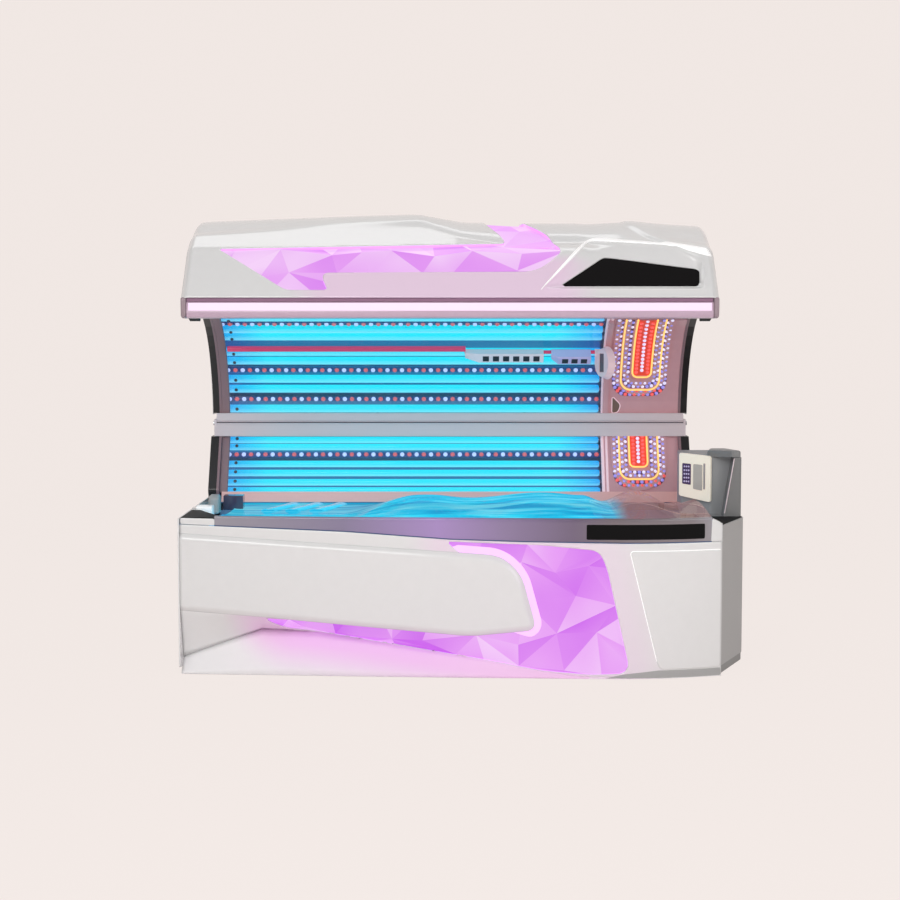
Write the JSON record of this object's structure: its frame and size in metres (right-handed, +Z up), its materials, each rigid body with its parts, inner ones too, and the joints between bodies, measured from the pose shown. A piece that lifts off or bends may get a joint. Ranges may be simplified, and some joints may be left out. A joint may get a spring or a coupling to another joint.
{
  "type": "clamshell tanning bed",
  "caption": "Clamshell tanning bed with a hinged lamp canopy over a clear bench, a lit side tanner, glowing front panels, air nozzles and a control console at one end.",
  "frame": {"origin": "on the floor, under the middle of the whole bed's box", "axes": "+X along the bed towards the console end, +Y from the front to the back, +Z up"},
  "size_m": [2.335, 1.367, 1.898],
  "materials": {
    "white_shell": "gloss white moulding",
    "grey_shell": "satin grey moulding",
    "hood_grey": "satin grey moulding",
    "dark_plastic": "satin dark moulding",
    "black_gloss": "gloss black",
    "rubber": "matt rubber",
    "aluminium": "satin anodised",
    "reflector": "bright rolled sheet",
    "painted_steel": "powder coat",
    "bright_steel": "bright",
    "clear_acrylic": "clear polished",
    "glow_acrylic": "lit translucent",
    "lamp_glass": "lit lamp tubes",
    "strip_light": "lit diffuser",
    "led_board": "satin moulding",
    "face_plastic": "gloss moulding",
    "duct_red": "gloss red",
    "console_cream": "satin cream",
    "display_glass": "display window",
    "keypad": "membrane"
  },
  "bodies": {
    "base": {"front_cover": "white_shell", "front_pane": "white_shell", "front_glow_panel": "glow_acrylic", "toe_skirt": "white_shell", "left_end_cover": "white_shell", "rear_cover": "white_shell", "base_frame": "painted_steel", "foot_front_left": "rubber", "foot_front_right": "rubber", "foot_rear_left": "rubber", "foot_rear_right": "rubber", "bench_acrylic": "clear_acrylic", "bench_name_strip": "black_gloss", "bench_reflector": "reflector", "bench_lamp_bank": "lamp_glass", "side_reflector": "reflector", "side_lamp_bank": "lamp_glass", "side_led_strip": "led_board", "side_acrylic": "clear_acrylic", "side_face_panel": "face_plastic", "side_end_left": "dark_plastic", "side_end_right": "dark_plastic", "side_rail": "aluminium", "hinge_pin_left": "bright_steel", "hinge_pin_right": "bright_steel", "side_pod": "grey_shell", "pod_plinth": "dark_plastic", "console_hood": "hood_grey", "console_panel": "console_cream", "console_display": "display_glass", "console_keypad": "keypad", "ballast_tray": "bright_steel", "base_fan_housing": "dark_plastic", "strut_cylinder_left": "painted_steel", "strut_cylinder_right": "painted_steel"},
    "canopy": {"canopy_shell": "white_shell", "canopy_glow_panel": "glow_acrylic", "canopy_name_panel": "black_gloss", "canopy_rim": "aluminium", "canopy_light_strip": "strip_light", "rim_bumper_left": "rubber", "rim_bumper_right": "rubber", "canopy_rail": "aluminium", "canopy_end_left": "dark_plastic", "canopy_end_right": "dark_plastic", "canopy_reflector": "reflector", "canopy_lamp_bank": "lamp_glass", "canopy_led_strip_1": "led_board", "canopy_led_strip_2": "led_board", "canopy_led_strip_3": "led_board", "canopy_acrylic": "clear_acrylic", "canopy_face_panel": "face_plastic", "air_duct": "duct_red", "face_nozzle": "face_plastic", "canopy_frame": "painted_steel"},
    "nozzle_left": {"air_nozzle_left": "led_board"},
    "nozzle_right": {"air_nozzle_right": "led_board"},
    "strut_left": {"strut_rod_left": "bright_steel"},
    "strut_right": {"strut_rod_right": "bright_steel"},
    "fan": {"base_fan_impeller": "dark_plastic"}
  },
  "joints": [
    {"name": "canopy_hinge", "type": "hinge", "parent": "base", "child": "canopy", "pos_m": [0, 0.4055, 0.9715], "axis": [1, 0, 0], "range_deg": [0, 40]},
    {"name": "strut_left_slide", "type": "slide", "parent": "base", "child": "strut_left", "axis": [0, 0, 1], "range_m": [0, 0.081]},
    {"name": "strut_right_slide", "type": "slide", "parent": "base", "child": "strut_right", "axis": [0, 0, 1], "range_m": [0, 0.081]},
    {"name": "nozzle_left_swivel", "type": "hinge", "parent": "canopy", "child": "nozzle_left", "pos_m": [0.17, 0.281, 1.2977], "axis": [1, 0, 0], "range_deg": [-25, 25]},
    {"name": "nozzle_right_swivel", "type": "hinge", "parent": "canopy", "child": "nozzle_right", "pos_m": [0.47, 0.281, 1.2977], "axis": [1, 0, 0], "range_deg": [-25, 25]},
    {"name": "fan_spin", "type": "hinge", "parent": "base", "child": "fan", "pos_m": [0.3525, 0.6, 0.2153], "axis": [0, 1, 0], "continuous": true}
  ],
  "couplings": [
    {"joint": "strut_left_slide", "follows": "canopy_hinge", "m_per_rad": 0.11459},
    {"joint": "strut_right_slide", "follows": "canopy_hinge", "m_per_rad": 0.11459}
  ]
}
